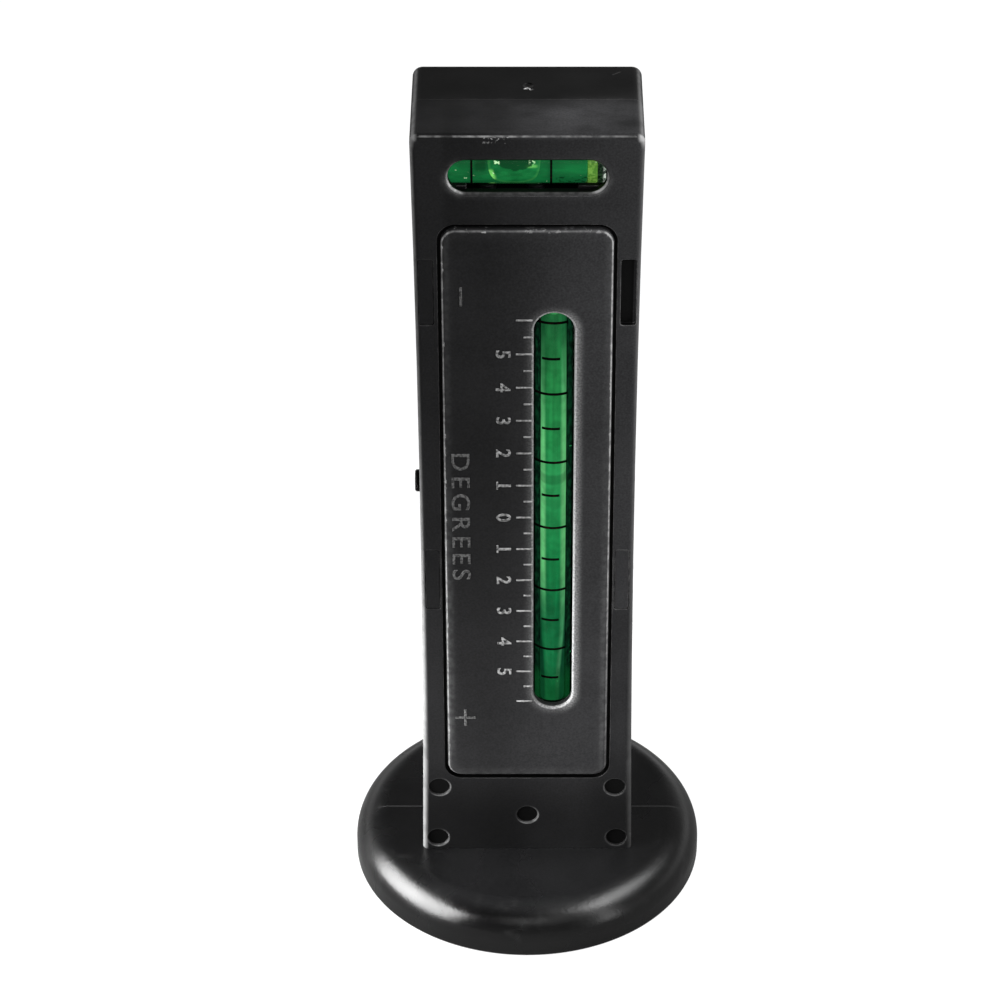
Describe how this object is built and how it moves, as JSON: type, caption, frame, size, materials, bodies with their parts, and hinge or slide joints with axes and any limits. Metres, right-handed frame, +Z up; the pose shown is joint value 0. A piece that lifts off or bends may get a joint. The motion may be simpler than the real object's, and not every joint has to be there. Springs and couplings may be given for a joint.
{
  "type": "camber caster gauge",
  "caption": "Magnetic bubble gauge: a black column with green camber, caster and cross level vials on a round magnetic base, to read wheel camber and caster.",
  "frame": {"origin": "centre of the round base's resting face", "axes": "+Z up the column, -Y out of the camber scale, +X out of the caster scale on the side"},
  "size_m": [0.08, 0.08, 0.198],
  "materials": {
    "shell_plastic": "black ABS, fine satin texture",
    "base_plastic": "black ABS, smooth satin",
    "plate_plastic": "black ABS, satin",
    "inner_plastic": "black ABS as moulded",
    "knob_plastic": "black, smooth",
    "vial_clear": "clear acrylic, tinted by the liquid",
    "vial_liquid": "bright green level liquid",
    "vial_plug": "yellow-green translucent plug",
    "vial_seal": "clear resin",
    "vial_ink": "black printed lines",
    "bubble_gas": "gas bubble",
    "plated_steel": "zinc plated steel",
    "screw_steel": "black oxide steel",
    "spring_steel": "drawn spring wire",
    "ferrite": "sintered ferrite, ground flat",
    "brass": "turned brass"
  },
  "bodies": {
    "housing": {"base_cover": "base_plastic", "steel_cup": "plated_steel", "ring_magnet": "ferrite", "lock_washer": "plated_steel", "centre_bolt": "plated_steel", "foot_block": "inner_plastic", "foot_insert": "brass", "locating_pins": "plated_steel", "front_shell": "shell_plastic", "rear_shell": "shell_plastic", "shell_screws": "screw_steel", "pocket_plugs": "shell_plastic", "camber_faceplate": "plate_plastic", "caster_faceplate": "plate_plastic", "camber_vial_tube": "vial_clear", "camber_vial_liquid": "vial_liquid", "camber_vial_plugs": "vial_plug", "camber_vial_marks": "vial_ink", "camber_vial_clips": "inner_plastic", "camber_clip_screws": "screw_steel", "cross_vial_tube": "vial_clear", "cross_vial_liquid": "vial_liquid", "cross_vial_plug": "vial_plug", "cross_vial_seal": "vial_seal", "cross_vial_rings": "vial_ink", "cross_vial_bracket": "inner_plastic", "cross_bracket_screws": "screw_steel"},
    "zero_adjuster": {"caster_carrier": "inner_plastic", "caster_vial_tube": "vial_clear", "caster_vial_liquid": "vial_liquid", "caster_vial_plugs": "vial_plug", "caster_vial_marks": "vial_ink", "zero_shaft": "plated_steel", "zero_knob": "knob_plastic", "thrust_washers": "plated_steel", "friction_spring": "spring_steel"},
    "camber_bubble": {"camber_bubble": "bubble_gas"},
    "cross_bubble": {"cross_bubble": "bubble_gas"},
    "caster_bubble": {"caster_bubble": "bubble_gas"}
  },
  "joints": [
    {"name": "zero_adjust", "type": "hinge", "parent": "housing", "child": "zero_adjuster", "pos_m": [0, 0.0002, 0.1034], "axis": [1, 0, 0], "range_deg": [-2.5, 2.5]},
    {"name": "camber_bubble_travel", "type": "hinge", "parent": "housing", "child": "camber_bubble", "pos_m": [0.00565, 0.46665, 0.1047], "axis": [1, 0, 0], "range_deg": [0, 12.2], "stiffness_Nm_per_rad": 0.01, "springref_deg": -5.73},
    {"name": "cross_bubble_travel", "type": "slide", "parent": "housing", "child": "cross_bubble", "axis": [1, 0, 0], "range_m": [-0.0094, 0.0094], "stiffness_N_per_m": 0.5},
    {"name": "caster_bubble_travel", "type": "hinge", "parent": "zero_adjuster", "child": "caster_bubble", "pos_m": [0.0166, 0.3284, 0.1034], "axis": [1, 0, 0], "range_deg": [0, 12.4], "stiffness_Nm_per_rad": 0.004, "springref_deg": -5.73}
  ]
}
